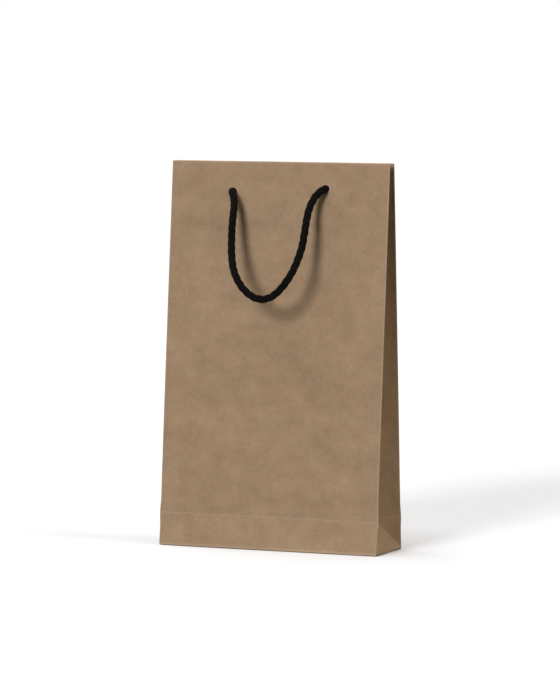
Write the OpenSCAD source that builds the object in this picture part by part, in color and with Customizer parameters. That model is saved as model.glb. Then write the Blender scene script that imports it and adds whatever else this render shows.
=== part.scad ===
// A small block-bottom paper carrier bag with two rope loop handles.
// It stands on z = 0 with the middle of its base at the origin, +Z up.
// The front panel faces -Y. The mouth is pinched, so both panels lean inwards
// and the side gussets fold in along their middle creases.

/* [Bag] */
// Width of the front and back panels
bag_w = 160; // [150:1:180]
// Height of the panels, measured along the paper
bag_h = 262; // [250:1:300]
// Depth of the base and full width of a side gusset
bag_d = 45; // [44:0.5:50]
// Lean of the front panel, in degrees
front_lean = 5.1; // [4:0.1:5.1]
// Lean of the back panel, in degrees
back_lean = 3.0; // [2:0.1:3]

/* [Paper and card] */
// Thickness of the kraft paper
paper_t = 0.25; // [0.2:0.01:0.3]
// Thickness of the strips that stiffen the mouth
card_t = 0.5; // [0.4:0.05:0.5]
// Thickness of the loose board in the base
board_t = 0.8; // [0.5:0.1:1.5]
// Depth of the turned-in hem round the mouth
hem_h = 36; // [32:1:45]
// Width of the glued overlap at the side seam
seam_w = 14; // [10:1:16]

/* [Rope handles] */
// Diameter of the rope
rope_d = 4.5; // [4:0.1:4.6]
// Diameter of the punched holes
hole_d = 5.8; // [5.4:0.1:6.5]
// Distance from the middle of the bag to each hole
hole_x = 34; // [30:1:36]
// Distance of the holes below the top edge
hole_drop = 19; // [17:1:22]
// How much lower the left hole is than the right one, halved
hole_skew = 1.4; // [0:0.1:1.4]
// Diameter of the knots that stop the rope inside the bag
knot_d = 7.2; // [6:0.1:7.2]

/* [Hidden] */
$fn = 48;

kraft = [0.61, 0.51, 0.40];
kraft_inside = [0.66, 0.57, 0.45];
grey_card = [0.70, 0.67, 0.62];
rope_black = [0.07, 0.07, 0.08];

// Clearances
fold_gap = 0.3;        // bottom edge of a panel to its crease line
slip_gap = 0.15;       // between sheets that slide over each other
crease_gap = 3.3;      // each half gusset stops this short of the middle crease, to swing past the other
base_inset = 1.2;      // base flaps and gusset triangles to their crease lines
foot_gap = 2.2;        // half gussets stop this far above the diagonal creases of the foot triangles
board_inset = 1.5;     // loose board to the walls
card_inset = 9;        // mouth strips to the corner edges, where the gussets lie against the panel

// Folds and overlaps
foot_tilt = 21;        // inward tilt of the foot triangles, whose tips meet the middle creases
base_lap = 9;          // how far each large base flap reaches past the middle
card_short = 3;        // the mouth card stops this far above the lower edge of the hem
gusset_hem_from = 13;  // the gusset's hem starts this far in from the corner edge, where there is room
seam_foot = 30;        // lower end of the seam overlap
seam_from_edge = 4.5;  // the overlap starts this far in, clear of the half gusset

// Rope ends inside the bag
squeezed_d = rope_d - 0.5;  // the rope is pulled thinner where it passes the hole
knot_drop = 10;        // knots hang this far below the holes
knot_spread = 5;       // and this far to one side
tail_len = 9;          // rope left below the middle of the knot
stub_out = 2.5;        // rope standing out of the hole before it starts to swing

half_w = bag_w / 2;
half_d = bag_d / 2;
stack_t = 2 * paper_t + card_t;          // panel, card and hem together
hole_s = bag_h - hole_drop;              // height of the holes along the panel
strip_w = bag_w - 2 * card_inset;
card_h = hem_h - card_short;

// ---- Where the gusset paper is ----

// Distance between the front and back corner edges at height z
function mouth_gap(z) = bag_d - z * (tan(front_lean) + tan(back_lean));

// Angle that a half gusset makes with the side plane at height z
function fold_angle(z) = acos(mouth_gap(z) / bag_d);

// A point on the right front half gusset: r from the corner edge, at height z, off inside the outer face
function gusset_point(lean, r, z, off) =
    let (a = fold_angle(z))
    [
        half_w - r * sin(a) - off * cos(a),
        -half_d + z * tan(lean) + r * cos(a) - off * sin(a),
        z
    ];

// Nearest that the half gusset comes to the corner edge without touching the panel's inner face
function corner_start(z) =
    (paper_t * (1 + sin(fold_angle(z))) + slip_gap) / cos(fold_angle(z));

// Triangles of a closed slab over a grid of rows by cols points, outer layer first, inner layer after it
function slab_faces(rows, cols) =
    let (n = rows * cols, at = function (i, j) i * cols + j)
    concat(
        [for (i = [0 : rows - 2], j = [0 : cols - 2], k = [0, 1])
            k == 0 ? [at(i, j), at(i + 1, j), at(i + 1, j + 1)]
                   : [at(i, j), at(i + 1, j + 1), at(i, j + 1)]],
        [for (i = [0 : rows - 2], j = [0 : cols - 2], k = [0, 1])
            k == 0 ? [n + at(i, j), n + at(i + 1, j + 1), n + at(i + 1, j)]
                   : [n + at(i, j), n + at(i, j + 1), n + at(i + 1, j + 1)]],
        [for (i = [0 : rows - 2], k = [0, 1])
            k == 0 ? [at(i, 0), n + at(i, 0), n + at(i + 1, 0)]
                   : [at(i, 0), n + at(i + 1, 0), at(i + 1, 0)]],
        [for (i = [0 : rows - 2], k = [0, 1])
            k == 0 ? [at(i, cols - 1), n + at(i + 1, cols - 1), n + at(i, cols - 1)]
                   : [at(i, cols - 1), at(i + 1, cols - 1), n + at(i + 1, cols - 1)]],
        [for (j = [0 : cols - 2], k = [0, 1])
            k == 0 ? [at(0, j), n + at(0, j + 1), n + at(0, j)]
                   : [at(0, j), at(0, j + 1), n + at(0, j + 1)]],
        [for (j = [0 : cols - 2], k = [0, 1])
            k == 0 ? [at(rows - 1, j), n + at(rows - 1, j), n + at(rows - 1, j + 1)]
                   : [at(rows - 1, j), n + at(rows - 1, j + 1), at(rows - 1, j + 1)]]
    );

// ---- Building blocks ----

// Local frame of a leaning panel: x across, y inwards from the outer face, z up the paper
module on_front() {
    translate([0, -half_d, 0])
        rotate([-front_lean, 0, 0])
            children();
}

module on_back() {
    mirror([0, 1, 0])
        translate([0, -half_d, 0])
            rotate([-back_lean, 0, 0])
                children();
}

// The two rope holes through everything between the given depths
module rope_holes(depth_from, depth_to) {
    for (side = [-1, 1])
        translate([side * hole_x, depth_from, hole_s + side * hole_skew])
            rotate([-90, 0, 0])
                cylinder(h = depth_to - depth_from, d = hole_d);
}

// A flat strip of a panel's layers, with the rope holes where they reach it
module panel_sheet(width, from_s, to_s, depth, thickness) {
    difference() {
        translate([-width / 2, depth, from_s])
            cube([width, thickness, to_s - from_s]);
        rope_holes(depth - 1, depth + thickness + 1);
    }
}

// One half of a side gusset: a strip of paper that twists as it rises, with straight level rulings
module half_gusset(lean, rows = 14, cols = 4) {
    reach = half_d - crease_gap;
    top_z = bag_h * cos(lean);
    layer = function (off)
        [for (i = [0 : rows - 1], j = [0 : cols - 1])
            let (
                u = j / (cols - 1),
                low_z = u * reach + foot_gap,
                z = low_z + (top_z - low_z) * i / (rows - 1),
                start = corner_start(z),
                r = start + (reach - start) * u
            )
            gusset_point(lean, r, z, off)];
    polyhedron(points = concat(layer(0), layer(paper_t)), faces = slab_faces(rows, cols), convexity = 4);
}

// The hem turned in behind the top of a half gusset
module half_gusset_hem(lean, rows = 4, cols = 2) {
    from_r = gusset_hem_from;
    to_r = half_d - crease_gap;
    top_z = bag_h * cos(lean);
    layer = function (off)
        [for (i = [0 : rows - 1], j = [0 : cols - 1])
            gusset_point(
                lean,
                from_r + (to_r - from_r) * j / (cols - 1),
                top_z - hem_h + hem_h * i / (rows - 1),
                off
            )];
    polyhedron(
        points = concat(layer(paper_t + slip_gap), layer(2 * paper_t + slip_gap)),
        faces = slab_faces(rows, cols),
        convexity = 4
    );
}

// The 45 degree triangle at the foot of a gusset, tipped inwards by the folded paper above it
module foot_triangle() {
    translate([half_w, 0, 0])
        rotate([0, -foot_tilt, 0])
            rotate([90, 0, 90])
                translate([0, 0, -paper_t])
                    linear_extrude(paper_t)
                        polygon([
                            [-half_d + 2.5 * base_inset, base_inset / 2],
                            [half_d - 2.5 * base_inset, base_inset / 2],
                            [0, half_d - 2 * base_inset]
                        ]);
}

// A side flap of the base, with its corners folded away at 45 degrees
module base_side_flap() {
    outer = half_d - base_inset;
    inner_x = half_w - half_d + base_inset;
    translate([0, 0, 2 * paper_t])
        linear_extrude(paper_t)
            polygon([
                [half_w - base_inset, -outer],
                [half_w - base_inset, outer],
                [inner_x, outer - half_d + 3 * base_inset],
                [inner_x, -outer + half_d - 3 * base_inset]
            ]);
}

// Both ends of one rope: through the hole, bent down the inside, knotted, with a short tail.
// knot_shift moves the knots outwards, so the front and back pairs lie side by side
module rope_ends(knot_shift) {
    run_y = stack_t + slip_gap + squeezed_d / 2;
    knot_y = stack_t + slip_gap + knot_d / 2;
    for (side = [-1, 1]) {
        hole_z = hole_s + side * hole_skew;
        knot = [side * (hole_x + knot_shift), knot_y, hole_s - knot_drop];
        union() {
            tube(
                [
                    [side * hole_x, -stub_out, hole_z],
                    [side * hole_x, run_y - 1, hole_z],
                    [side * (hole_x + 0.15 * knot_shift), run_y, hole_z - 1.5],
                    [side * (hole_x + 0.8 * knot_shift), knot_y, hole_s - knot_drop + 2],
                    [side * (hole_x + 1.1 * knot_shift), knot_y, hole_s - knot_drop - 3],
                    [side * (hole_x + 1.2 * knot_shift), knot_y, hole_s - knot_drop - tail_len]
                ],
                squeezed_d, 8, [1, 0, 0]
            );
            translate(knot)
                sphere(d = knot_d, $fn = 32);
        }
    }
}

// ---- The rope loop ----

// Route of one arm of a loop, measured from the level of the holes:
// [distance from the bag's middle before the sway, distance out from the panel, distance down]
loop_route = [
    [31.0, 6.5, 3.2], [29.4, 8.9, 6.2], [28.2, 11.6, 10.0], [27.5, 14.6, 15.0], [27.1, 17.6, 21.6],
    [26.6, 20.2, 29.2], [25.8, 23.2, 37.2], [24.2, 27.0, 45.0], [21.6, 30.9, 52.6],
    [17.6, 34.0, 59.6], [12.6, 35.9, 65.5], [6.6, 36.8, 69.8], [0, 37.0, 71.4]
];
loop_sway = 3.6;        // the lowest point hangs this far to the right of the bag's middle

// The whole route: left arm, lowest point, right arm. The left arm starts lower by the skew of the holes
function loop_points(skew) =
    let (
        n = len(loop_route) - 1,
        drop_of = function (p) skew * (1 - p[2] / loop_route[n][2]),
        sway_of = function (p) loop_sway * pow(p[2] / loop_route[n][2], 2)
    )
    concat(
        [for (i = [0 : n - 1]) let (p = loop_route[i]) [sway_of(p) - p[0], -p[1], -p[2] - drop_of(p)]],
        [for (i = [n : -1 : 0]) let (p = loop_route[i]) [sway_of(p) + p[0], -p[1], -p[2] + drop_of(p)]]
    );

// Rings of a round tube about the points of a route, all turned from one fixed direction
module tube(route, d, sides, facing) {
    n = len(route);
    unit = function (v) v / norm(v);
    heading = [for (i = [0 : n - 1]) unit(route[min(i + 1, n - 1)] - route[max(i - 1, 0)])];
    points = [
        for (i = [0 : n - 1])
            let (across = unit(cross(heading[i], facing)), up = cross(across, heading[i]))
            for (k = [0 : sides - 1])
                route[i] + d / 2 * (cos(360 * k / sides) * across + sin(360 * k / sides) * up)
    ];
    at = function (i, k) i * sides + (k % sides);
    walls = [
        for (i = [0 : n - 2], k = [0 : sides - 1], half = [0, 1])
            half == 0 ? [at(i, k), at(i, k + 1), at(i + 1, k + 1)]
                      : [at(i, k), at(i + 1, k + 1), at(i + 1, k)]
    ];
    caps = [
        [for (k = [sides - 1 : -1 : 0]) at(0, k)],
        [for (k = [0 : sides - 1]) at(n - 1, k)]
    ];
    polyhedron(points = points, faces = concat(walls, caps), convexity = 6);
}

// A loop that hangs down outside its panel, placed at the height of the holes
module rope_loop() {
    tube(loop_points(hole_skew), rope_d, 10, [0, -0.94, 0.34]);
}

// ---- The paper ----

module front_panel() {
    color(kraft)
        on_front() panel_sheet(bag_w, fold_gap, bag_h, 0, paper_t);
}

module back_panel() {
    color(kraft)
        on_back() panel_sheet(bag_w, fold_gap, bag_h, 0, paper_t);
}

module right_gusset_front() {
    color(kraft)
        half_gusset(front_lean);
}

module right_gusset_back() {
    color(kraft)
        mirror([0, 1, 0]) half_gusset(back_lean);
}

module left_gusset_front() {
    color(kraft)
        mirror([1, 0, 0]) half_gusset(front_lean);
}

module left_gusset_back() {
    color(kraft)
        mirror([1, 0, 0]) mirror([0, 1, 0]) half_gusset(back_lean);
}

module right_gusset_triangle() {
    color(kraft)
        foot_triangle();
}

module left_gusset_triangle() {
    color(kraft)
        mirror([1, 0, 0]) foot_triangle();
}

// The front flap is the outermost layer and the bag stands on it
module base_front_flap() {
    color(kraft)
        translate([-half_w + base_inset, -half_d + base_inset, 0])
            cube([bag_w - 2 * base_inset, half_d - base_inset + base_lap, paper_t]);
}

// The back flap steps up over the inner edge of the front flap, where the two are glued
module base_back_flap() {
    step_y = base_lap + slip_gap;
    color(kraft)
        translate([-half_w + base_inset, 0, 0])
            rotate([90, 0, 90])
                linear_extrude(bag_w - 2 * base_inset)
                    polygon([
                        [step_y, 0],
                        [half_d - base_inset, 0],
                        [half_d - base_inset, paper_t],
                        [step_y + paper_t, paper_t],
                        [step_y + paper_t, 2 * paper_t],
                        [-base_lap, 2 * paper_t],
                        [-base_lap, paper_t],
                        [step_y, paper_t]
                    ]);
}

module base_right_flap() {
    color(kraft)
        base_side_flap();
}

module base_left_flap() {
    color(kraft)
        mirror([1, 0, 0]) base_side_flap();
}

// ---- Card and hems ----

// A loose board on the folded flaps keeps the base flat
module base_board() {
    color(grey_card)
        translate([-half_w + board_inset, -half_d + board_inset, 3 * paper_t])
            cube([bag_w - 2 * board_inset, bag_d - 2 * board_inset, board_t]);
}

module front_hem_card() {
    color(grey_card)
        on_front() panel_sheet(strip_w, bag_h - card_h, bag_h - paper_t, paper_t, card_t);
}

module back_hem_card() {
    color(grey_card)
        on_back() panel_sheet(strip_w, bag_h - card_h, bag_h - paper_t, paper_t, card_t);
}

module front_hem() {
    color(kraft_inside)
        on_front() panel_sheet(strip_w, bag_h - hem_h, bag_h, paper_t + card_t, paper_t);
}

module back_hem() {
    color(kraft_inside)
        on_back() panel_sheet(strip_w, bag_h - hem_h, bag_h, paper_t + card_t, paper_t);
}

module right_gusset_front_hem() {
    color(kraft_inside)
        half_gusset_hem(front_lean);
}

module right_gusset_back_hem() {
    color(kraft_inside)
        mirror([0, 1, 0]) half_gusset_hem(back_lean);
}

module left_gusset_front_hem() {
    color(kraft_inside)
        mirror([1, 0, 0]) half_gusset_hem(front_lean);
}

module left_gusset_back_hem() {
    color(kraft_inside)
        mirror([1, 0, 0]) mirror([0, 1, 0]) half_gusset_hem(back_lean);
}

// The bag is one sheet, closed by this glued overlap behind the left edge of the back panel
module side_seam_flap() {
    seam_top = bag_h - hem_h - 1;
    color(kraft_inside)
        on_back()
            translate([-half_w + seam_from_edge, paper_t, seam_foot])
                cube([seam_w - seam_from_edge, paper_t, seam_top - seam_foot]);
}

// ---- Rope ----

module front_rope_loop() {
    color(rope_black)
        translate([0, -half_d + hole_s * sin(front_lean), hole_s * cos(front_lean)])
            rope_loop();
}

module back_rope_loop() {
    color(rope_black)
        mirror([0, 1, 0])
            translate([0, -half_d + hole_s * sin(back_lean), hole_s * cos(back_lean)])
                rope_loop();
}

module front_rope_ends() {
    color(rope_black)
        on_front() rope_ends(-knot_spread);
}

module back_rope_ends() {
    color(rope_black)
        on_back() rope_ends(knot_spread);
}

front_panel();
back_panel();
right_gusset_front();
right_gusset_back();
left_gusset_front();
left_gusset_back();
right_gusset_triangle();
left_gusset_triangle();
base_front_flap();
base_back_flap();
base_left_flap();
base_right_flap();
base_board();
front_hem_card();
back_hem_card();
front_hem();
back_hem();
right_gusset_front_hem();
right_gusset_back_hem();
left_gusset_front_hem();
left_gusset_back_hem();
side_seam_flap();
front_rope_loop();
back_rope_loop();
front_rope_ends();
back_rope_ends();
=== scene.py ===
# %% [markdown]
# # A kraft paper gift bag with rope handles
# The bag is one sheet of brown kraft paper, folded and glued, with a turned-in mouth and two rope loops.
# The frame below holds its folds, its bodies and its joints, at real size, in metres.
# Everything made here is laid round that frame. The panels, hem cards, knots, feet, base and seam ride on its
# bodies;
# the sides and the rope loops are placed once, where they rest.

# %% Load the frame
import math

import bmesh
import bpy
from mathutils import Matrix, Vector


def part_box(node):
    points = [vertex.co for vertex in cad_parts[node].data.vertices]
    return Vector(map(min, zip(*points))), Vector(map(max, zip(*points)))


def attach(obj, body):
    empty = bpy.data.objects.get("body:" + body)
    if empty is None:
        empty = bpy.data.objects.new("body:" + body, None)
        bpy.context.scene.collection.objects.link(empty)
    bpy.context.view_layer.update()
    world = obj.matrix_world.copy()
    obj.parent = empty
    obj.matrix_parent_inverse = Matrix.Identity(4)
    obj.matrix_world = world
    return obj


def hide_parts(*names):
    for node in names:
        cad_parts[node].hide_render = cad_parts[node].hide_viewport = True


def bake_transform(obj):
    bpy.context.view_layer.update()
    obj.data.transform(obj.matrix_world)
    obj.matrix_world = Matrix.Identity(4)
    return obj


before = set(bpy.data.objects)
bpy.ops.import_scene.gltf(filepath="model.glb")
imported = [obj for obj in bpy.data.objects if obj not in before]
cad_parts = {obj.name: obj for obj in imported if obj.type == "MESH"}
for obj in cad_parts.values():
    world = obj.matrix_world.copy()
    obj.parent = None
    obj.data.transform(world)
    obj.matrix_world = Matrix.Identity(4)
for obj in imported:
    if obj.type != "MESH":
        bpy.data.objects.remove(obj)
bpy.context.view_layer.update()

MM = 0.001

# %% [markdown]
# ## The bag's own sizes
# A carrier bag is set out on the flat, so a few lengths fix every fold:
# its width, its height along the paper, and its depth.
# The mouth is pinched, so both big panels lean inwards and the sides fold in along their middle creases.
# The width is read off the frame. The back hem is folded a hair shorter, so both rims stand about level.

# %% Driving sizes
_, panel_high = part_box("front_panel")
half_width = panel_high.x
paper_height = 262 * MM
back_hem_short = 0.7 * MM
half_depth = 22.5 * MM
front_lean = math.radians(5.1)
back_lean = math.radians(3.0)
paper = 0.25 * MM
hem_depth = 36 * MM
crease_height = half_depth
print("panel width, mm:", round(2 * half_width / MM, 2))

# %% [markdown]
# ## The camera
# A long lens from nearly level keeps the edges of the bag straight and almost parallel, as in a catalogue.
# The camera is placed by a direction and a distance from a point inside the bag,
# and a tracking rotation aims it. That is easier to read, and to change, than three rotation angles.

# %% Camera
camera_target = Vector((0.0002, 0, 0.1339))
camera_distance = 2.885
camera_turn = math.radians(23.78)
camera_rise = math.radians(4.59)
towards_camera = Vector((
    math.sin(camera_turn) * math.cos(camera_rise),
    -math.cos(camera_turn) * math.cos(camera_rise),
    math.sin(camera_rise),
))
camera_data = bpy.data.cameras.new("catalogue_camera")
camera_data.lens = 219.5
camera_data.clip_end = 3000
camera = bpy.data.objects.new("catalogue_camera", camera_data)
camera.location = camera_target + camera_distance * towards_camera
camera.rotation_mode = "QUATERNION"
camera.rotation_quaternion = (-towards_camera).to_track_quat("-Z", "Y")
bpy.context.scene.collection.objects.link(camera)
bpy.context.scene.camera = camera
print("camera, m:", [round(v, 3) for v in camera.location])

# %% [markdown]
# ## Where a panel is
# Each big panel is flat paper that leans. Its own coordinates are across, inwards from its outer face,
# and up. One function turns them into places in the frame, for the front and, mirrored, for the back.
# Everything fixed to a panel, from its holes to its knots, goes through this function.

# %% Panel coordinates
FRONT, BACK = -1, 1
lean_of = {FRONT: front_lean, BACK: back_lean}
rim_of = {FRONT: paper_height, BACK: paper_height - back_hem_short}


def on_panel(face, across, inwards, up):
    """A point of the front or back panel: across it, inwards from its outer face, and up the paper."""
    lean = lean_of[face]
    y = half_depth - up * math.sin(lean) - inwards * math.cos(lean)
    return Vector((across, face * y, up * math.cos(lean) - inwards * math.sin(lean)))


print("top of the front panel, mm:", [round(v / MM, 1) for v in on_panel(FRONT, 0, 0, paper_height)])

# %% [markdown]
# ## The rope's route
# Each handle is one soft rope that leaves a hole, hangs down outside the panel and goes in at the other hole.
# A rope this short keeps some of its own curl, so it stands well away from the paper and hangs askew:
# its left hole is lower than its right one, and its lowest point sways to the right.
# The route is a few listed places joined by a smooth curve, the same as the frame's tube.

# %% Rope route
end_depths = (0.9 * MM, -2.2 * MM)
hole_radius = 2.75 * MM
hole_across = 34 * MM
hole_up = 243 * MM
hole_skew = 1.4 * MM
ring_step = 0.55 * MM

# One arm of a loop: distance from the middle before the sway, out from the panel, and down, in millimetres
loop_arm = [
    (31.0, 6.5, 3.2), (29.4, 8.9, 6.2), (28.2, 11.6, 10.0), (27.5, 14.6, 15.0), (27.1, 17.6, 21.6),
    (26.6, 20.2, 29.2), (25.8, 23.2, 37.2), (24.2, 27.0, 45.0), (21.6, 30.9, 52.6),
    (17.6, 34.0, 59.6), (12.6, 35.9, 65.5), (6.6, 36.8, 69.8), (0.0, 37.0, 71.4),
]
loop_drop = loop_arm[-1][2]
loop_sway = 3.6


def smooth_through(points, step):
    """Points a step apart along a smooth curve that passes through the given points."""
    dense = []
    padded = [points[0] * 2 - points[1], *points, points[-1] * 2 - points[-2]]
    for a, b, c, d in zip(padded, padded[1:], padded[2:], padded[3:]):
        for k in range(24):
            t = k / 24
            dense.append(0.5 * (
                2 * b + (c - a) * t + (2 * a - 5 * b + 4 * c - d) * t ** 2 + (3 * b - a - 3 * c + d) * t ** 3
            ))
    dense.append(points[-1])
    total = sum((q - p).length for p, q in zip(dense, dense[1:]))
    count = max(2, round(total / step))
    even, walked, target = [dense[0]], 0.0, total / count
    for p, q in zip(dense, dense[1:]):
        span = (q - p).length
        while len(even) < count and walked + span >= target * len(even):
            even.append(p.lerp(q, (target * len(even) - walked) / span))
        walked += span
    return [*even, dense[-1]]


def length_of(points):
    """How long a run of points is."""
    return sum((q - p).length for p, q in zip(points, points[1:]))


def loop_route(face):
    """The whole loop, from inside the left hole to inside the right one."""
    middle = on_panel(face, 0, 0, hole_up)
    route = []
    for side in (-1, 1):
        hole_level = hole_up + side * hole_skew
        half = [on_panel(face, side * hole_across, depth, hole_level) for depth in end_depths]
        for across, out, down in loop_arm:
            skew = hole_skew * (1 - down / loop_drop)
            sway = loop_sway * (down / loop_drop) ** 2
            step = Vector((side * across + sway, face * out, -down)) * MM
            half.append(middle + step + Vector((0, 0, side * skew)))
        route += half if side < 0 else half[-2::-1]
    return smooth_through(route, ring_step)


for face, name in ((FRONT, "front"), (BACK, "back")):
    print(name, "loop, mm:", round(length_of(loop_route(face)) / MM, 1))

# %% [markdown]
# ## The rope's finish
# The rope is matt black cotton. Its yarns are modelled, so the finish only has to add the fluff.
# Fine noise varies the black a little, and a weak warm sheen gives the soft edge that cotton fibres catch.
# The sheen is the same everywhere, so it is set on the shader itself.

# %% Helpers for finishes
def new_finish(name):
    """An empty finish: its material, its node tree and its main shader."""
    material = bpy.data.materials.new(name)
    material.use_nodes = True
    tree = material.node_tree
    return material, tree, tree.nodes["Principled BSDF"]


def add_node(tree, kind, settings=None, **inputs):
    """A node with its settings and inputs; an input is a number, a colour or another node's output."""
    node = tree.nodes.new(kind)
    for key, value in (settings or {}).items():
        setattr(node, key, value)
    for key, value in inputs.items():
        socket = node.inputs[int(key[1:])] if key[0] == "_" else node.inputs[key.replace("_", " ")]
        if isinstance(value, bpy.types.NodeSocket):
            tree.links.new(value, socket)
        else:
            socket.default_value = value
    return node


def grain(tree, scale, stretch=(1, 1, 1), turn=0.0, detail=3.0, roughness=0.55):
    """Cloudy noise in the object's own space; scale is in patches to the metre, before any stretch."""
    place = add_node(tree, "ShaderNodeTexCoord").outputs["Object"]
    mapped = add_node(tree, "ShaderNodeMapping", _0=place, Rotation=(0, turn, 0), Scale=stretch).outputs[0]
    noise = add_node(tree, "ShaderNodeTexNoise", _0=mapped, Scale=scale, Detail=detail, Roughness=roughness)
    return noise.outputs["Fac"]


def remap(tree, value, low, high, to_low, to_high):
    """A value stretched from one range to another, and held at its ends."""
    return add_node(tree, "ShaderNodeMapRange", _0=value, _1=low, _2=high, _3=to_low, _4=to_high).outputs[0]


def mix(tree, share, under, over, kind="MIX"):
    """Two colours mixed by a share."""
    node = add_node(tree, "ShaderNodeMix", {"data_type": "RGBA", "blend_type": kind})
    for socket, value in ((node.inputs[0], share), (node.inputs[6], under), (node.inputs[7], over)):
        if isinstance(value, bpy.types.NodeSocket):
            tree.links.new(value, socket)
        else:
            socket.default_value = value
    return node.outputs[2]


print("finish helpers ready")

# %% Black cotton
rope_finish, tree, shader = new_finish("black cotton rope")
fluff = remap(tree, grain(tree, 2600, detail=4), 0.35, 0.7, 0, 1)
yarn_black = mix(tree, fluff, (0.0012, 0.0010, 0.0009, 1), (0.0042, 0.0034, 0.0031, 1))
tree.links.new(yarn_black, shader.inputs["Base Color"])
shader.inputs["Roughness"].default_value = 0.88
shader.inputs["Specular IOR Level"].default_value = 0.09
shader.inputs["Sheen Weight"].default_value = 0.025
shader.inputs["Sheen Roughness"].default_value = 0.45
shader.inputs["Sheen Tint"].default_value = (1.0, 0.90, 0.82, 1)
fluff_height = grain(tree, 5200, detail=3)
fluff_bump = add_node(tree, "ShaderNodeBump", Strength=0.5, Distance=0.06 * MM, Height=fluff_height)
tree.links.new(fluff_bump.outputs[0], shader.inputs["Normal"])
print("rope finish:", rope_finish.name)

# %% [markdown]
# ## Laying the rope
# A laid rope is three strands twisted one way, and each strand is a bundle of yarns twisted the other way.
# A tube with a bump map would lose its outline, so a Geometry Nodes tree lays real yarns along any route.
# It copies the route once for each yarn, pushes every copy sideways round two circles,
# and sweeps each one into a thin tube.
# The girth stored on the route squeezes the rope where it passes a hole or is drawn into a knot.

# %% The rope-laying tree
def number_input(tree, name, default, whole=False):
    """A named number on the tree's own panel."""
    kind = "NodeSocketInt" if whole else "NodeSocketFloat"
    socket = tree.interface.new_socket(name, in_out="INPUT", socket_type=kind)
    socket.default_value = default


def maths(tree, operation, *values):
    """One sum, product, sine or the like of numbers or outputs."""
    inputs = {f"_{i}": value for i, value in enumerate(values)}
    return add_node(tree, "ShaderNodeMath", {"operation": operation}, **inputs).outputs[0]


def vectors(tree, operation, first, second):
    """One sum or product of two directions."""
    return add_node(tree, "ShaderNodeVectorMath", {"operation": operation}, _0=first, _1=second).outputs[0]


def scaled(tree, direction, amount):
    """A direction made longer or shorter."""
    node = add_node(tree, "ShaderNodeVectorMath", {"operation": "SCALE"}, _0=direction)
    tree.links.new(amount, node.inputs["Scale"])
    return node.outputs[0]


def round_the_route(tree, turn, reach, normal, binormal):
    """A step sideways from the route: a turn, in whole circles, and a reach."""
    angle = maths(tree, "MULTIPLY", turn, 2 * math.pi)
    first = scaled(tree, normal, maths(tree, "MULTIPLY", maths(tree, "COSINE", angle), reach))
    second = scaled(tree, binormal, maths(tree, "MULTIPLY", maths(tree, "SINE", angle), reach))
    return vectors(tree, "ADD", first, second)


rope_tree = bpy.data.node_groups.new("laid rope", "GeometryNodeTree")
rope_tree.is_modifier = True
rope_tree.interface.new_socket("Geometry", in_out="INPUT", socket_type="NodeSocketGeometry")
rope_tree.interface.new_socket("Geometry", in_out="OUTPUT", socket_type="NodeSocketGeometry")
for name, default, whole in (
    ("Strands", 3, True), ("Yarns in a strand", 6, True), ("Ring step", ring_step, False),
    ("Strand reach", 0.72 * MM, False), ("Yarn reach", 1.30 * MM, False), ("Yarn radius", 0.66 * MM, False),
    ("Lay length", 17 * MM, False), ("Yarn lay length", 13 * MM, False),
):
    number_input(rope_tree, name, default, whole)
rope_tree.interface.new_socket("Finish", in_out="INPUT", socket_type="NodeSocketMaterial")
given = rope_tree.nodes.new("NodeGroupInput").outputs
handed_out = rope_tree.nodes.new("NodeGroupOutput")
print("inputs of the rope tree:", [socket.name for socket in given if socket.name])

# %% The route, copied once for each yarn
route = add_node(rope_tree, "GeometryNodeMeshToCurve", _0=given["Geometry"]).outputs[0]
by_length = {"mode": "LENGTH"}
rings = add_node(rope_tree, "GeometryNodeResampleCurve", by_length, Curve=route, Length=given["Ring step"])
route = add_node(rope_tree, "GeometryNodeSetCurveNormal", _0=rings.outputs[0]).outputs[0]
yarn_count = maths(rope_tree, "MULTIPLY", given["Strands"], given["Yarns in a strand"])
per_line = {"domain": "SPLINE"}
copies = add_node(rope_tree, "GeometryNodeDuplicateElements", per_line, Geometry=route, Amount=yarn_count)
yarn_index = copies.outputs["Duplicate Index"]
yarn_share = maths(rope_tree, "DIVIDE", yarn_index, given["Yarns in a strand"])
strand_share = maths(rope_tree, "DIVIDE", maths(rope_tree, "FLOOR", yarn_share), given["Strands"])
along = add_node(rope_tree, "GeometryNodeSplineParameter").outputs["Length"]
normal = add_node(rope_tree, "GeometryNodeInputNormal").outputs[0]
tangent = add_node(rope_tree, "GeometryNodeInputTangent").outputs[0]
binormal = vectors(rope_tree, "CROSS_PRODUCT", tangent, normal)
number = {"data_type": "FLOAT"}
girth = add_node(rope_tree, "GeometryNodeInputNamedAttribute", number, Name="girth").outputs["Attribute"]
print("yarns are numbered and the route's own directions are read")

# %% Yarns wound round their strand, and strands round the route
strand_laps = maths(rope_tree, "DIVIDE", along, given["Lay length"])
strand_turn = maths(rope_tree, "ADD", strand_laps, strand_share)
yarn_laps = maths(rope_tree, "DIVIDE", along, given["Yarn lay length"])
yarn_turn = maths(rope_tree, "SUBTRACT", yarn_share, yarn_laps)
strand_reach = maths(rope_tree, "MULTIPLY", given["Strand reach"], girth)
yarn_reach = maths(rope_tree, "MULTIPLY", given["Yarn reach"], girth)
strand_step = round_the_route(rope_tree, strand_turn, strand_reach, normal, binormal)
yarn_step = round_the_route(rope_tree, yarn_turn, yarn_reach, normal, binormal)
whole_step = vectors(rope_tree, "ADD", strand_step, yarn_step)
lines = copies.outputs["Geometry"]
laid = add_node(rope_tree, "GeometryNodeSetPosition", Geometry=lines, Offset=whole_step).outputs[0]
yarn_radius = given["Yarn radius"]
section = add_node(rope_tree, "GeometryNodeCurvePrimitiveCircle", Resolution=6, Radius=yarn_radius).outputs[0]
yarns = add_node(rope_tree, "GeometryNodeCurveToMesh", _0=laid, _1=section).outputs[0]
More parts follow.
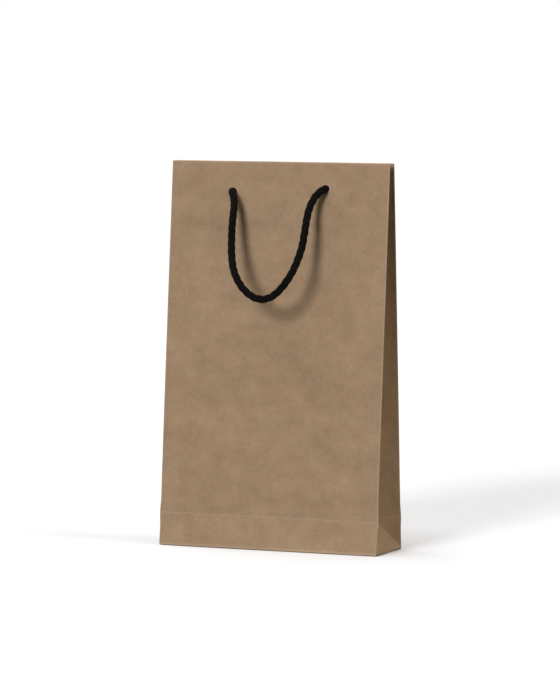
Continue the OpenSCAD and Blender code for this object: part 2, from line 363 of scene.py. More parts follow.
for socket in rope_tree.nodes[-1].inputs:
    if socket.name == "Fill Caps":
        socket.default_value = True
    if socket.name == "Scale":
        rope_tree.links.new(girth, socket)
yarns = add_node(rope_tree, "GeometryNodeSetShadeSmooth", _0=yarns).outputs[0]
yarns = add_node(rope_tree, "GeometryNodeRealizeInstances", _0=yarns).outputs[0]
yarns = add_node(rope_tree, "GeometryNodeSetMaterial", _0=yarns, Material=given["Finish"]).outputs[0]
rope_tree.links.new(yarns, handed_out.inputs[0])
print("rope tree:", len(rope_tree.nodes), "nodes")


# %% Laying one piece of rope
def lay_rope(name, routes, girths):
    """Rope laid along one or more routes, as one plain mesh."""
    lines = bpy.data.meshes.new(name)
    points, edges = [], []
    for run in routes:
        first = len(points)
        points += run
        edges += [(i, i + 1) for i in range(first, len(points) - 1)]
    lines.from_pydata(points, edges, [])
    stored = lines.attributes.new("girth", "FLOAT", "POINT")
    stored.data.foreach_set("value", [g for run in girths for g in run])
    draft = bpy.data.objects.new(name, lines)
    bpy.context.scene.collection.objects.link(draft)
    modifier = draft.modifiers.new("laid rope", "NODES")
    modifier.node_group = rope_tree
    sockets = {s.name: s.identifier for s in rope_tree.interface.items_tree if s.in_out == "INPUT"}
    modifier[sockets["Finish"]] = rope_finish
    modifier[sockets["Ring step"]] = ring_step
    evaluated = draft.evaluated_get(bpy.context.evaluated_depsgraph_get())
    mesh = bpy.data.meshes.new_from_object(evaluated)
    draft.modifiers.remove(modifier)
    draft.data = mesh
    mesh.name = name
    print(name, len(mesh.polygons), "faces")
    return draft


squeeze_length = 6 * MM
girth_in_hole = 0.92


def girth_near_holes(run):
    """Full rope outside, and drawn thinner over the last few millimetres before each hole."""
    total, walked, girths = length_of(run), 0.0, []
    for i, point in enumerate(run):
        walked += (point - run[i - 1]).length if i else 0
        from_hole = min(walked, total - walked) / squeeze_length
        girths.append(girth_in_hole + (1 - girth_in_hole) * min(1, from_hole) ** 2)
    return girths


ropes = {}
for face, name in ((FRONT, "front"), (BACK, "back")):
    run = loop_route(face)
    ropes[face] = lay_rope(f"{name}_rope", [run], [girth_near_holes(run)])

# %% [markdown]
# ## Knots inside the mouth
# A knot behind the paper stops each end from pulling through its hole. It is an overhand knot, drawn tight.
# The knot's curve is the three-lobed one that mathematicians call a trefoil, opened at one lobe:
# one end goes up to the hole, and the other hangs down as a short tail, a little frayed.
# The same tree lays its yarns, thinner where the knot squeezes them.

# %% Knots
hem_stack = 1.0 * MM
knot_drop = 10 * MM
knot_shift = {FRONT: -5 * MM, BACK: 5 * MM}
knot_size = 1.32 * MM
knot_girth = 0.6
knot_places = 34
knot_opening = 0.30
entry_girth = 0.86
tail_girth = 1.02
tail_length = 9 * MM


def knot_routes(face):
    """Both rope ends of one panel: from the hole, down into the knot, and out into the tail."""
    routes, girths = [], []
    for side in (-1, 1):
        hole_height = hole_up + side * hole_skew
        middle = (side * (hole_across + knot_shift[face]), hem_stack + 2.9 * MM, hole_up - knot_drop)
        hand = side * (1 if face == FRONT else -1)

        def near_knot(out, deep, high):
            return on_panel(face, middle[0] + hand * out, middle[1] + deep, middle[2] + high)

        run = [
            on_panel(face, side * hole_across, 0.7 * MM, hole_height),
            on_panel(face, side * hole_across, 2.0 * MM, hole_height - 0.2 * MM),
            on_panel(face, side * (hole_across + 0.15 * knot_shift[face]), 3.1 * MM, hole_height - 2.4 * MM),
            near_knot(2.6 * knot_size, -1.0 * knot_size, 3.2 * knot_size),
        ]
        lead = len(run)
        for k in range(knot_places):
            t = 2 * math.pi - knot_opening - (2 * math.pi - 2 * knot_opening) * k / (knot_places - 1)
            reach = (2 + math.cos(3 * t)) * knot_size
            deep = math.sin(3 * t) * knot_size
            run.append(near_knot(reach * math.cos(2 * t), deep, -reach * math.sin(2 * t)))
        run.append(near_knot(2.7 * knot_size, 0.9 * knot_size, -3.2 * knot_size))
        run.append(near_knot(2.3 * knot_size, 0.5 * knot_size, -3.2 * knot_size - tail_length / 2))
        run.append(near_knot(2.0 * knot_size, 0.2 * knot_size, -3.2 * knot_size - tail_length))
        even = smooth_through(run, ring_step)
        before = length_of(smooth_through(run[:lead + 1], ring_step))
        total, walked, girth_run = length_of(even), 0.0, []
        for i, point in enumerate(even):
            walked += (point - even[i - 1]).length if i else 0
            squeezed = entry_girth + (knot_girth - entry_girth) * min(1, walked / before)
            loose = max(0.0, 1 - (total - walked) / (tail_length * 0.9))
            girth_run.append(squeezed + (tail_girth - squeezed) * loose ** 1.5)
        routes.append(even)
        girths.append(girth_run)
    return routes, girths


knots = {}
for face, name in ((FRONT, "front"), (BACK, "back")):
    knots[face] = lay_rope(f"{name}_rope_knots", *knot_routes(face))

# %% [markdown]
# ## Knots on the panels, loops in place
# Each knot rides on its panel. Each loop stays where it was laid, in place of the frame's loop.

# %% Knots on their panels, loops in place
for face, name in ((FRONT, "front"), (BACK, "back")):
    hole_level = on_panel(face, 0, 0, hole_up)
    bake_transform(ropes[face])
    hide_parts(f"{name}_rope_loop")
    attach(knots[face], f"{name}_panel")
    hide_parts(f"{name}_rope_ends")
    run = loop_route(face)
    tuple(run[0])
    length_of(run)

# %% [markdown]
# ## Kraft paper
# Kraft is unbleached wood pulp. Up close it is cloudy, with pale and dark fibres lying every way but mostly
# along the web, and here and there a fleck of bark. Where it is folded or rubbed it breaks and goes paler.
# Noise at four sizes makes the clouds, the mottling, the fibres and the flecks.
# The fold wear comes from a value stored on each sheet, because it follows the folds
# and not the space round them. On the foot triangles the same value also paints the whole facet
# a little paler: painted light, for the light that their upward tilt catches.

# %% Kraft finish
def kraft_finish(name, lift):
    """Brown paper; lift makes a paler sheet, as on the inside, where no light has faded it and no hand has
    rubbed it.
    """
    material, tree, shader = new_finish(name)
    deep, pale = (0.292, 0.190, 0.108), (0.412, 0.279, 0.170)
    clouds = remap(tree, grain(tree, 60, (1, 1, 1.25), detail=4, roughness=0.6), 0.33, 0.67, 0.22, 0.78)
    paper_colour = mix(tree, clouds, (*(c * lift for c in deep), 1), (*(c * lift for c in pale), 1))
    mottle = remap(tree, grain(tree, 310, (1, 1, 0.8), detail=4, roughness=0.6), 0.3, 0.7, 0, 1)
    paper_colour = mix(tree, 0.55, paper_colour,
                       mix(tree, mottle, (0.90, 0.89, 0.88, 1), (1.10, 1.11, 1.12, 1)), "MULTIPLY")
    long_fibres = grain(tree, 900, (2.6, 2.6, 0.34), turn=0.10, detail=2)
    cross_fibres = grain(tree, 760, (0.40, 2.4, 2.6), turn=-0.45, detail=2)
    fibres = maths(tree, "ADD", long_fibres, cross_fibres)
    fibre_share = remap(tree, fibres, 0.74, 1.26, 0, 1)
    fibre_tint = mix(tree, fibre_share, (0.86, 0.84, 0.81, 1), (1.13, 1.14, 1.15, 1))
    paper_colour = mix(tree, 0.6, paper_colour, fibre_tint, "MULTIPLY")
    flecks = remap(tree, grain(tree, 1500, (1, 1, 0.5), turn=0.7, detail=1), 0.735, 0.77, 0, 0.5)
    paper_colour = mix(tree, flecks, paper_colour, (0.16, 0.088, 0.040, 1))
    # The stored value is fold wear, and on the foot triangles it is also painted light that makes the whole
    # facet paler.
    rub_and_painted_light_share = add_node(tree, "ShaderNodeAttribute", {"attribute_name": "rubbed_and_painted_light"}).outputs["Fac"]
    broken_fibres_and_painted_light = maths(tree, "MULTIPLY", rub_and_painted_light_share, remap(tree, grain(tree, 1300, detail=3), 0.3, 0.65, 0.35, 0.85))
    paper_colour = mix(tree, broken_fibres_and_painted_light, paper_colour, (0.60, 0.47, 0.34, 1))
    tree.links.new(paper_colour, shader.inputs["Base Color"])
    tree.links.new(remap(tree, mottle, 0, 1, 0.66, 0.82), shader.inputs["Roughness"])
    shader.inputs["Specular IOR Level"].default_value = 0.32
    fine = maths(tree, "ADD", fibres, maths(tree, "MULTIPLY", grain(tree, 2400, detail=3), 0.7))
    tooth = add_node(tree, "ShaderNodeBump", Strength=0.30, Distance=0.05 * MM, Height=fine)
    tree.links.new(tooth.outputs[0], shader.inputs["Normal"])
    return material


kraft = kraft_finish("kraft paper", 1.0)
kraft_inside = kraft_finish("kraft paper inside", 1.08)
print("paper finishes:", kraft.name, "and", kraft_inside.name)

# %% Grey card
card_finish, tree, shader = new_finish("grey card")
pulp = remap(tree, grain(tree, 260, detail=4), 0.3, 0.7, 0, 1)
card_colour = mix(tree, pulp, (0.36, 0.335, 0.30, 1), (0.47, 0.44, 0.40, 1))
specks = remap(tree, grain(tree, 1900, detail=1), 0.70, 0.74, 0, 0.7)
card_colour = mix(tree, specks, card_colour, (0.16, 0.15, 0.15, 1))
tree.links.new(card_colour, shader.inputs["Base Color"])
shader.inputs["Roughness"].default_value = 0.9
card_height = grain(tree, 1500, detail=4)
card_bump = add_node(tree, "ShaderNodeBump", Strength=0.4, Distance=0.05 * MM, Height=card_height)
tree.links.new(card_bump.outputs[0], shader.inputs["Normal"])
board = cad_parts["base_board"]
board.data.materials.clear()
board.data.materials.append(card_finish)
print("card on the base board")

# %% [markdown]
# ## Sheets of paper
# All the paper is made one way. A flat pattern is drawn first, as points and four-sided faces,
# with a ring of faces round each punched hole. Then every point is placed twice, on the outer and the inner
# face of the folded sheet, and the two faces are joined along every cut edge.
# So the paper has its true thickness, the holes have real walls, and the folds are as round as real ones.

# %% Flat pattern
def spaced(start, stop, step):
    """Evenly spaced lines from start to stop, about a step apart."""
    count = max(1, round(abs(stop - start) / step))
    return [start + (stop - start) * i / count for i in range(count + 1)]


def lines_through(*stretches):
    """Grid lines over several stretches that follow on, each with its own step."""
    lines = []
    for start, stop, step in stretches:
        lines += spaced(start, stop, step)[1 if lines else 0:]
    return lines


def flat_pattern(us, vs, keep=None, holes=()):
    """Points and faces of a flat sheet. A hole has a centre, a radius and the block of lines round it."""
    points, faces, index = [], [], {}

    def at(u, v):
        key = (round(u, 8), round(v, 8))
        if key not in index:
            index[key] = len(points)
            points.append((u, v))
        return index[key]

    for u0, u1 in zip(us, us[1:]):
        for v0, v1 in zip(vs, vs[1:]):
            u, v = (u0 + u1) / 2, (v0 + v1) / 2
            cut = any(h["u"][0] < u < h["u"][-1] and h["v"][0] < v < h["v"][-1] for h in holes)
            if not cut and (keep is None or keep(u, v)):
                faces.append((at(u0, v0), at(u1, v0), at(u1, v1), at(u0, v1)))
    for hole in holes:
        hu, hv = hole["u"], hole["v"]
        rim = [(u, hv[0]) for u in hu[:-1]] + [(hu[-1], v) for v in hv[:-1]]
        rim += [(u, hv[-1]) for u in hu[:0:-1]] + [(hu[0], v) for v in hv[:0:-1]]
        centre_u, centre_v = hole["centre"]
        rings = [rim]
        for share in (0.35, 0.62, 0.82, 0.94, 1.0):
            ring = []
            for u, v in rim:
                angle = math.atan2(v - centre_v, u - centre_u)
                edge_u = centre_u + hole["radius"] * math.cos(angle)
                edge_v = centre_v + hole["radius"] * math.sin(angle)
                ring.append((u + (edge_u - u) * share, v + (edge_v - v) * share))
            rings.append(ring)
        for outer, inner in zip(rings, rings[1:]):
            for i, (a, b) in enumerate(zip(outer, outer[1:] + outer[:1])):
                c, d = inner[(i + 1) % len(inner)], inner[i]
                faces.append((at(*a), at(*b), at(*c), at(*d)))
    return points, faces


# %% From a flat pattern to folded paper
sharp_turn = math.radians(40)


def folded_sheet(name, pattern, place, finish, rubbed_and_painted_light=None, thickness=paper):
    """A closed sheet: place(u, v, depth) puts a point of the pattern at a depth below the outer face."""
    points, faces = pattern
    count = len(points)
    shape = bmesh.new()
    stored = shape.verts.layers.float.new("rubbed_and_painted_light")
    for depth in (0.0, thickness):
        for u, v in points:
            vertex = shape.verts.new(place(u, v, depth))
            vertex[stored] = rubbed_and_painted_light(u, v) if rubbed_and_painted_light else 0.0
    shape.verts.ensure_lookup_table()
    uses = {}
    for face in faces:
        shape.faces.new([shape.verts[i] for i in face])
        shape.faces.new([shape.verts[i + count] for i in reversed(face)])
        for a, b in zip(face, face[1:] + face[:1]):
            uses[frozenset((a, b))] = (a, b) if frozenset((a, b)) not in uses else None
    for edge in filter(None, uses.values()):
        a, b = edge
        shape.faces.new([shape.verts[i] for i in (b, a, a + count, b + count)])
    bmesh.ops.recalc_face_normals(shape, faces=shape.faces)
    for face in shape.faces:
        face.smooth = True
    for edge in shape.edges:
        edge.smooth = edge.calc_face_angle(0) < sharp_turn
    mesh = bpy.data.meshes.new(name)
    shape.to_mesh(mesh)
    shape.free()
    mesh.materials.append(finish)
    sheet = bpy.data.objects.new(name, mesh)
    bpy.context.scene.collection.objects.link(sheet)
    print(name, len(mesh.polygons), "faces")
    return sheet


def turned_in(v, depth, top, radius):
    """Paper that goes up, over the top fold and down inside: its depth below the face and its height."""
    spring = top - radius
    if v <= spring:
        return depth, v
    angle = (v - spring) / radius
    if angle < math.pi:
        return radius - (radius - depth) * math.cos(angle), spring + (radius - depth) * math.sin(angle)
    return 2 * radius - depth, spring - (v - spring - math.pi * radius)


def near(distance, width):
    """1 on a line, falling smoothly to 0 away from it."""
    return math.exp(-(distance / width) ** 2)


print("paper helpers ready")

# %% [markdown]
# ## The two big panels
# A panel is stiff where the card strip lies in its turned-in hem, and soft below it. So the paper sinks
# a little under the hem, and it has broad shallow dents from being folded flat and opened again.
# The crease that runs all round at the height of the bottom block pulls the panel in a touch, and below it
# the paper flares out to the bottom edge. Each dent is one soft hollow with a place, a size and a slant.

# %% How a panel gives
fold_radius = 0.42 * MM
hem_line = paper_height - hem_depth

# Soft dents of a panel in millimetres: across, up, half width, half height, slant, and depth inwards
dents = {
    FRONT: [
        (-52, 196, 34, 15, -10, 0.75), (50, 178, 30, 16, 20, 0.75), (14, 118, 44, 14, -38, 0.95),
        (-40, 98, 30, 16, 15, 0.70), (40, 62, 34, 13, -20, 0.60), (-8, 60, 26, 12, 30, -0.50),
        (-30, 145, 26, 14, -30, -0.60), (55, 112, 22, 20, 10, -0.40),
    ],
    BACK: [
        (30, 186, 40, 17, 12, 0.50), (-46, 150, 32, 16, -24, 0.45), (12, 104, 44, 18, 30, 0.50),
        (-30, 64, 34, 14, -16, 0.36), (52, 70, 24, 16, 10, -0.30),
    ],
}


def crease_give(up):
    """How far the crease round the bottom block pulls the paper in, at a height up the sheet."""
    if up < crease_height:
        return 0.75 * MM * up / crease_height
    return 0.75 * MM * math.exp(-(up - crease_height) / (34 * MM))


def crease_bulge(up):
    """How far the corner edges stand out sideways where the crease meets them."""
    return 0.55 * MM * math.exp(-((up - crease_height) / (6 * MM)) ** 2)


def panel_give(face, across, up):
    """How far the panel sinks inwards at a place: its dents, its sag below the hem and its fine ripple."""
    x, s = across / MM, up / MM
    hollow = 0.0
    for dent_x, dent_s, half_w, half_h, slant, depth in dents[face]:
        turn = math.radians(slant)
        a = (x - dent_x) * math.cos(turn) + (s - dent_s) * math.sin(turn)
        b = (s - dent_s) * math.cos(turn) - (x - dent_x) * math.sin(turn)
        hollow += depth * math.exp(-(a / half_w) ** 2 - (b / half_h) ** 2)
    below_hem = (hem_line - up) / MM
    if below_hem > 0:
        hollow += 0.62 * (1 - math.exp(-(below_hem / 9) ** 2)) * math.exp(-below_hem / 45)
    hollow += 0.05 * math.sin(x / 9.3 + s / 14.0) * math.sin(s / 11.5 - x / 17.0)
    edge = max(0.0, 1 - (abs(across) / half_width) ** 6)
    stiff = min(1.0, max(0.0, below_hem / 14)) if below_hem > 0 else 0.0
    rightwards = 0.5 + 0.5 * math.tanh((x + 5) / 22)
    flare = -0.62 * MM * math.exp(-up / (3.2 * MM)) * rightwards
    flare -= 0.9 * MM * max(0.0, 1 - up / crease_height) * (1 - rightwards)
    return hollow * MM * edge * stiff * min(1.0, up / (14 * MM)) + crease_give(up) + flare * edge


print("front panel gives most, mm:", round(max(
    panel_give(FRONT, x * MM, s * MM) for x in range(-80, 81, 4) for s in range(0, 262, 4)) / MM, 2))


# %% The angle of a gusset at each height
def side_angle(height):
    """How far each half of the side is folded in at a height: 0 is flat."""
    gap = 2 * half_depth - height * (math.tan(front_lean) + math.tan(back_lean))
    return math.acos(min(1.0, gap / (2 * half_depth)))


print("side folded in at the mouth, degrees:", round(math.degrees(side_angle(paper_height)), 1))

# %% Panels
flat_half = half_width - fold_radius
stack_radius = hem_stack / 2
top_spring = paper_height - stack_radius
hem_end = top_spring + math.pi * stack_radius + hem_depth
corner_turn = math.radians(138)
corner_arc = fold_radius * corner_turn
block = 6.5 * MM
block_step = block / 4
bottom_fold = 0.6 * MM


def panel_pattern():
    """The flat panel with its hem, its narrow wings that turn the corners, and its four punched holes."""
    wing = [-flat_half - corner_arc, -flat_half]
    us = lines_through(
        (wing[0], wing[1], corner_arc / 7),
        (wing[1], -flat_half + 2 * MM, 0.5 * MM),
        (-flat_half + 2 * MM, -hole_across - block, 2.4 * MM),
        (-hole_across - block, -hole_across + block, block_step),
        (-hole_across + block, hole_across - block, 2.4 * MM),
        (hole_across - block, hole_across + block, block_step),
        (hole_across + block, flat_half - 2 * MM, 2.4 * MM),
        (flat_half - 2 * MM, flat_half, 0.5 * MM),
        (flat_half, flat_half + corner_arc, corner_arc / 7),
    )
    up = lines_through(
        (bottom_fold, 5 * MM, 0.7 * MM),
        (5 * MM, crease_height - 1.2 * MM, 2.2 * MM),
        (crease_height - 1.2 * MM, crease_height + 1.2 * MM, 0.3 * MM),
        (crease_height + 1.2 * MM, hem_line - 2 * MM, 2.3 * MM),
        (hem_line - 2 * MM, hem_line + 1 * MM, 0.75 * MM),
        (hem_line + 1 * MM, hole_up - block, 2 * MM),
        (hole_up - block, hole_up + block, block_step),
        (hole_up + block, top_spring, 1.6 * MM),
    )
    mirror_line = 2 * top_spring + math.pi * stack_radius
    inside_block = mirror_line - hole_up
    down = lines_through(
        (top_spring, mirror_line - top_spring, stack_radius * math.pi / 10),
        (mirror_line - top_spring, inside_block - block, 1.6 * MM),
        (inside_block - block, inside_block + block, block_step),
        (inside_block + block, hem_end, 2 * MM),
    )
    vs = up + down[1:]
    holes = []
    for side in (-1, 1):
        columns = [u for u in us if abs(u - side * hole_across) < block * 1.001]
        for centre_v, middle in (
            (hole_up + side * hole_skew, hole_up), (inside_block - side * hole_skew, inside_block)
        ):
            rows = [v for v in vs if abs(v - middle) < block * 1.001]
            centre = (side * hole_across, centre_v)
            holes.append({"centre": centre, "radius": hole_radius, "u": columns, "v": rows})

    def keep(u, v):
        return abs(u) < flat_half or v < top_spring

    return flat_pattern(us, vs, keep, holes), holes


def make_panel(face, name):
    """One big panel with its hem."""
    pattern, holes = panel_pattern()

    def place(u, v, depth):
        sink, up = turned_in(v, depth, paper_height, stack_radius)
        up -= (paper_height - rim_of[face]) * min(1.0, max(0.0, (up - hem_line) / hem_depth))
        across = u
        if abs(u) > flat_half:
            turn = (abs(u) - flat_half) / fold_radius
            turn *= (math.pi / 2 + side_angle(up)) / corner_turn
            across = math.copysign(flat_half + (fold_radius - depth) * math.sin(turn), u)
            sink = fold_radius - (fold_radius - depth) * math.cos(turn)
        give = sink + panel_give(face, across, up)
        across += crease_bulge(up) * (across / half_width) ** 9
        return on_panel(face, across, give, up)

    def rubbed_and_painted_light(u, v):
        rub_and_painted_light_share = 0.42 * near(max(0.0, flat_half + 0.5 * fold_radius - abs(u)), 0.45 * MM)
        rub_and_painted_light_share = max(rub_and_painted_light_share, 0.15 * near(v - top_spring - math.pi * stack_radius / 2, 0.9 * MM))
        rub_and_painted_light_share = max(rub_and_painted_light_share, 0.30 * near(v - crease_height, 0.40 * MM), 0.55 * near(v - bottom_fold, 1.0 * MM))
        for hole in holes:
            off_centre = math.hypot(u - hole["centre"][0], v - hole["centre"][1])
            rub_and_painted_light_share = max(rub_and_painted_light_share, 0.8 * near(off_centre - hole_radius, 0.40 * MM))
        return rub_and_painted_light_share

    sheet = folded_sheet(f"{name}_panel_paper", pattern, place, kraft, rubbed_and_painted_light)
    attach(sheet, f"{name}_panel")
    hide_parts(f"{name}_panel", f"{name}_hem")


for face, name in ((FRONT, "front"), (BACK, "back")):
    make_panel(face, name)

# %% [markdown]
# ## Card in the hems
# A strip of grey card lies in each hem, so that the rope doesn't tear the paper. Only its lower edge shows,
# from inside the bag. Its holes are punched with the paper's, in one stroke.

# %% Hem cards
card_half = 71 * MM
card_rise = 33 * MM
card_thick = 0.44 * MM


def make_hem_card(face, name):
    """The card strip in one hem, a little short of the fold above it."""
    top = rim_of[face] - 0.45 * MM
    us = lines_through(
        (-card_half, -hole_across - block, 4 * MM),
        (-hole_across - block, -hole_across + block, block_step),
        (-hole_across + block, hole_across - block, 4 * MM),
        (hole_across - block, hole_across + block, block_step),
        (hole_across + block, card_half, 4 * MM),
    )
    vs = lines_through(
        (paper_height - card_rise, hole_up - block, 2 * MM),
        (hole_up - block, hole_up + block, block_step),
        (hole_up + block, top, 2 * MM),
    )
    holes = []
    for side in (-1, 1):
        columns = [u for u in us if abs(u - side * hole_across) < block * 1.001]
        rows = [v for v in vs if abs(v - hole_up) < block * 1.001]
        centre = (side * hole_across, hole_up + side * hole_skew)
        holes.append({"centre": centre, "radius": hole_radius, "u": columns, "v": rows})

    def place(u, v, depth):
        return on_panel(face, u, paper + 0.03 * MM + panel_give(face, u, v) + depth, v)

    pattern = flat_pattern(us, vs, holes=holes)
    card = folded_sheet(f"{name}_hem_board", pattern, place, card_finish, thickness=card_thick)
    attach(card, f"{name}_panel")
    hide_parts(f"{name}_hem_card")


for face, name in ((FRONT, "front"), (BACK, "back")):
    make_hem_card(face, name)

# %% [markdown]
# ## The sides
# Each side is folded in along a crease up its middle, so it is two strips that twist as they rise:
# nearly flat at the bottom, and folded deep into the bag at the mouth.
# A strip is hardly bent across its width, so straight level lines describe it well.
# At the foot the paper bows and the middle crease is drawn in a few millimetres deeper.
# When the mouth opens, each strip has to untwist. Here each strip is made once, in its resting place.

# %% Half gussets
side_radius = 0.3 * MM
crease_reach = half_depth


def foot_draw(height):
    """How much deeper than its plain fold the middle crease is drawn in, at the foot and just above it."""
    risen = 1 - math.exp(-(height / (5 * MM)) ** 2)
    return 4.0 * MM * risen * math.exp(-(max(0.0, height - crease_height) / (18 * MM)) ** 2)


def side_point(face, side, reach, height, depth):
    """A point of a half gusset, by its reach from the corner edge, its height and its depth in the paper."""
    lean, angle = lean_of[face], side_angle(height)
    eased = fold_radius * (1 - math.cos(angle) + math.sin(angle)) * max(0.0, 1 - reach / (8 * MM)) ** 2
    free = math.sin(math.pi * reach / crease_reach)
    ripple = 0.16 * MM * math.sin(height / (23 * MM) + reach / (9 * MM)) * free
    below = depth - eased + ripple * min(1.0, height / crease_height)
    mitred = reach + depth * math.tan(angle) * (reach / crease_reach) ** 12
    pulled = crease_give(height) * (1 - min(1.0, reach / crease_reach))
    x = half_width + crease_bulge(height) * max(0.0, 1 - reach / crease_reach) ** 2
    x -= mitred * math.sin(angle) + below * math.cos(angle) + foot_draw(height) * reach / crease_reach
    y = half_depth - pulled - height * math.tan(lean) - mitred * math.cos(angle) + below * math.sin(angle)
    return Vector((side * x, face * y, height))


def make_half_gusset(face, side, name):
    """One half of one side, with its hem turned in at the mouth."""
    top = {f: rim_of[f] * math.cos(lean_of[f]) for f in (FRONT, BACK)}
    middle_top = (top[FRONT] + top[BACK]) / 2
    hem_foot = top[face] - side_radius + math.pi * side_radius + hem_depth
    vs = lines_through(
        (bottom_fold, 4 * MM, 0.85 * MM), (4 * MM, crease_height - 1 * MM, 2.2 * MM),
        (crease_height - 1 * MM, crease_height + 1 * MM, 0.25 * MM),
        (crease_height + 1 * MM, top[face] - side_radius, 2.6 * MM),
        (top[face] - side_radius, top[face] - side_radius + math.pi * side_radius, side_radius * math.pi / 6),
        (top[face] - side_radius + math.pi * side_radius, hem_foot, 2.4 * MM),
    )
    us = lines_through((0, 0.06, 0.02), (0.06, 0.94, 0.055), (0.94, 1, 0.015))

    def place(u, v, depth):
        sink, height = turned_in(v, depth, top[face], side_radius)
        angle = side_angle(height)
        start = min(fold_radius * (math.sin(angle) + math.cos(angle)), 0.9 * height)
        reach = start + (min(crease_reach, height) - start) * u
        level = height + (middle_top - top[face]) * u * max(0.0, height / top[face]) ** 8
        return side_point(face, side, reach, level, sink)

    def rubbed_and_painted_light(u, v):
        reach_low = min(crease_reach, v) if v < top[face] else crease_reach
        rub_and_painted_light_share = max(0.55 * near(u * reach_low, 0.5 * MM), 0.45 * near((1 - u) * reach_low, 0.4 * MM))
        rub_and_painted_light_share = max(rub_and_painted_light_share, 0.35 * near(v - crease_height, 0.35 * MM))
        return max(rub_and_painted_light_share, 0.5 * near(v - top[face] + side_radius - math.pi * side_radius / 2, 0.6 * MM))

    sheet = folded_sheet(f"{name}_paper", flat_pattern(us, vs), place, kraft, rubbed_and_painted_light)
    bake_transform(sheet)
    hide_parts(name, f"{name}_hem")


for side, side_name in ((1, "right"), (-1, "left")):
    for face, face_name in ((FRONT, "front"), (BACK, "back")):
        make_half_gusset(face, side, f"{side_name}_gusset_{face_name}")

# %% [markdown]
# ## The triangles at the foot
# Below the middle crease each side opens out into a triangle, with a fold at 45 degrees on either hand.
# The triangle is drawn in by the paper above it, and its slanted edges meet the two strips along those folds.
# It is ruled straight across from fold to fold, which keeps it a single curved sheet with no gap beside it.


# %% Foot triangles
def make_foot(side, side_name):
    """The triangle at the foot of one side."""
    name = f"{side_name}_gusset_triangle"
    tip = crease_height - 0.25 * MM
    start = 1.1 * MM

    def inset(height):
        return height * (math.sin(side_angle(height)) + foot_draw(height) / crease_reach)

    def place(u, v, depth):
        front_edge = side_point(FRONT, side, v, v, 0)
        back_edge = side_point(BACK, side, v, v, 0)
        slope = (inset(v + 0.05 * MM) - inset(v - 0.05 * MM)) / (0.1 * MM)
        outward = Vector((side, 0, slope)).normalized()
        return front_edge.lerp(back_edge, u) - outward * depth

    def rubbed_and_painted_light(u, v):
        width = 2 * (half_depth - v) + 0.4 * MM
        # The floor of 0.13 is painted light: it makes the whole upward-tilted triangle paler, for the light
        # it catches. The rest is wear along its folds.
        return max(0.13, 0.7 * near(min(u, 1 - u) * width, 0.5 * MM), 0.5 * near(v - start, 0.7 * MM))

    us = lines_through((0, 0.04, 0.01), (0.04, 0.96, 0.046), (0.96, 1, 0.01))
    vs = lines_through((start, 3 * MM, 0.6 * MM), (3 * MM, tip, 1.3 * MM))
    sheet = folded_sheet(f"{name}_paper", flat_pattern(us, vs), place, kraft, rubbed_and_painted_light)
    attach(sheet, f"{side_name}_gusset_foot")
    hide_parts(name)


for side, side_name in ((1, "right"), (-1, "left")):
    make_foot(side, side_name)

# %% [markdown]
# ## The folded base
# Four flaps close the bottom. The two short side flaps fold in first, then the long back and front flaps
# fold over them and are glued where they overlap. Each flap starts with the round fold at the foot
# of its wall, so the paper is seen to turn under. The glue line presses the back flap up
# over the edge of the front one.

# %% Base flaps
lap = 9 * MM


def make_long_flap(face):
    """The front or back flap: the outermost layer, or the one that steps up over it."""
    reach = half_depth + lap
    arc = bottom_fold * math.pi / 2

    def place(u, v, depth):
        if v < arc:
            angle = v / bottom_fold
            inwards = bottom_fold - (bottom_fold - depth) * math.cos(angle)
            height = bottom_fold - (bottom_fold - depth) * math.sin(angle)
        else:
            inwards, height = bottom_fold + v - arc, depth
        if face == BACK:
            climb = min(1.0, max(0.0, (inwards - (half_depth - lap - 2.6 * MM)) / (2.4 * MM)))
            height += (paper + 0.02 * MM) * climb ** 2 * (3 - 2 * climb)
        flare = panel_give(FRONT, u, bottom_fold) if face == FRONT else 0.0
        inwards += flare * max(0.0, 1 - v / (3 * MM))
        return Vector((u, face * (half_depth - inwards), height))

    def rubbed_and_painted_light(u, v):
        return max(0.7 * near(v - arc / 2, 0.8 * MM), 0.4 * near(v - reach, 0.4 * MM))

    us = spaced(-half_width + 0.5 * MM, half_width - 0.5 * MM, 2.6 * MM)
    vs = lines_through((0, arc, arc / 6), (arc, arc + 3 * MM, 0.75 * MM), (arc + 3 * MM, reach, 1.6 * MM))
    name = "base_front_flap" if face == FRONT else "base_back_flap"
    sheet = folded_sheet(f"{name}_paper", flat_pattern(us, vs), place, kraft, rubbed_and_painted_light)
    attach(sheet, "base")
    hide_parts(name)


def make_side_flap(side, name):
    """A short side flap, with its corners folded away at 45 degrees."""
    layer = 2 * paper + 0.04 * MM
    arc = bottom_fold * math.pi / 2
    reach = half_depth - 2 * MM

    def place(u, v, depth):
        if v < arc:
            angle = v / bottom_fold
            inwards = bottom_fold - (bottom_fold - depth) * math.cos(angle)
            height = layer + bottom_fold - (bottom_fold - depth) * math.sin(angle)
        else:
            inwards, height = bottom_fold + v - arc, layer + depth
        spread = half_depth - 0.6 * MM - inwards * 0.9
        return Vector((side * (half_width - inwards), u * spread, height))

    def rubbed_and_painted_light(u, v):
        return 0.6 * near(v - arc / 2, 0.8 * MM)

    vs = lines_through((0, arc, arc / 5), (arc, reach, 1.6 * MM))
    sheet = folded_sheet(f"{name}_paper", flat_pattern(spaced(-1, 1, 0.08), vs), place, kraft_inside, rubbed_and_painted_light)
    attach(sheet, "base")
    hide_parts(name)


make_long_flap(FRONT)
make_long_flap(BACK)
make_side_flap(1, "base_right_flap")
make_side_flap(-1, "base_left_flap")

# %% [markdown]
# ## The side seam
# The bag is one sheet, so somewhere its two ends are glued together. The overlap lies inside the back panel,
# along its left edge. It follows the same dents as the panel that it is glued to, so it is placed by the
# same function, one sheet of paper further in.

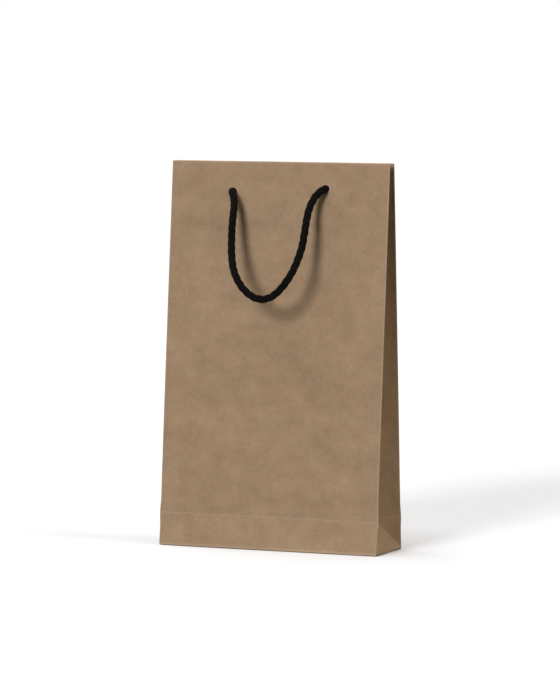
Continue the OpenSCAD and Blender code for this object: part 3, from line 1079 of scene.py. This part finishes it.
# %% Side seam
seam_foot, seam_top = 30 * MM, 225 * MM
seam_near, seam_far = 75.5 * MM, 66 * MM


def seam_place(u, v, depth):
    """A point of the glued overlap, one paper thickness inside the back panel."""
    return on_panel(BACK, u, paper + 0.02 * MM + depth + panel_give(BACK, u, v), v)


seam = folded_sheet(
    "side_seam_paper",
    flat_pattern(spaced(-seam_near, -seam_far, 1.2 * MM), spaced(seam_foot, seam_top, 2.3 * MM)),
    seam_place, kraft_inside,
)
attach(seam, "back_panel")
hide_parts("side_seam_flap")

# %% [markdown]
# ## Floor and light
# The bag stands on a plain white floor that runs out of sight, under soft studio light.
# The main light stands in front and a little to the left. It is low and fairly small, so the rope throws
# a long shadow on the panel, dark near the holes and softer where the rope stands further off.
# A wide light almost overhead whitens the floor and gives the bag its contact shadow.
# Warm light from the right picks out the folded side, as a brown card beside the bag would,
# and weak lights from behind, from the left and from all round keep the other sides readable.
# The white background is seen by the camera only, and the floor throws no light back,
# so the folded side stays dark. One weak light from below stands for what a real floor would give,
# and the floor casts no shadow, to let that light through.

# %% Floor
floor_mesh = bpy.data.meshes.new("studio_floor")
floor_size = 900
floor_drop = 0.1 * MM
corners = ((-1, -1), (1, -1), (1, 1), (-1, 1))
floor_corners = [(x * floor_size, y * floor_size, -floor_drop) for x, y in corners]
floor_mesh.from_pydata(floor_corners, [], [(0, 1, 2, 3)])
floor = bpy.data.objects.new("studio_floor", floor_mesh)
bpy.context.scene.collection.objects.link(floor)
floor_finish, tree, shader = new_finish("white studio floor")
shader.inputs["Base Color"].default_value = (0.855, 0.862, 0.885, 1)
shader.inputs["Roughness"].default_value = 1.0
shader.inputs["Specular IOR Level"].default_value = 0.0
floor_mesh.materials.append(floor_finish)
floor.visible_diffuse = False
floor.visible_shadow = False

# %% Lights
def sun(name, turn, rise, width, strength, colour=(1, 1, 1)):
    """A distant light: the side it comes from, its height and its width, in degrees, and its strength."""
    data = bpy.data.lights.new(name, "SUN")
    data.energy = strength
    data.color = colour
    data.angle = math.radians(width)
    turn, rise = math.radians(turn), math.radians(rise)
    source = Vector((math.sin(turn) * math.cos(rise), -math.cos(turn) * math.cos(rise), math.sin(rise)))
    light = bpy.data.objects.new(name, data)
    light.rotation_mode = "QUATERNION"
    light.rotation_quaternion = source.to_track_quat("Z", "Y")
    bpy.context.scene.collection.objects.link(light)


sun("main_light", -7, 22.5, 20, 2.20)
sun("overhead_light", -60, 81, 46, 1.95)
sun("right_fill", 87.5, 24, 34, 1.32, (1.0, 0.92, 0.77))
sun("back_fill", 180, 16, 60, 0.8)
sun("left_fill", -110, 20, 40, 0.6)
sun("room_light", 0, 90, 170, 0.18)
sun("floor_glow", 0, -90, 170, 0.16)
world = bpy.data.worlds.new("studio")
world.use_nodes = True
world.node_tree.nodes["Background"].inputs["Color"].default_value = (1, 1, 1, 1)
world.node_tree.nodes["Background"].inputs["Strength"].default_value = 1.0
world.cycles_visibility.diffuse = False
world.cycles_visibility.glossy = False
bpy.context.scene.world = world
bpy.context.scene.view_settings.view_transform = "Standard"
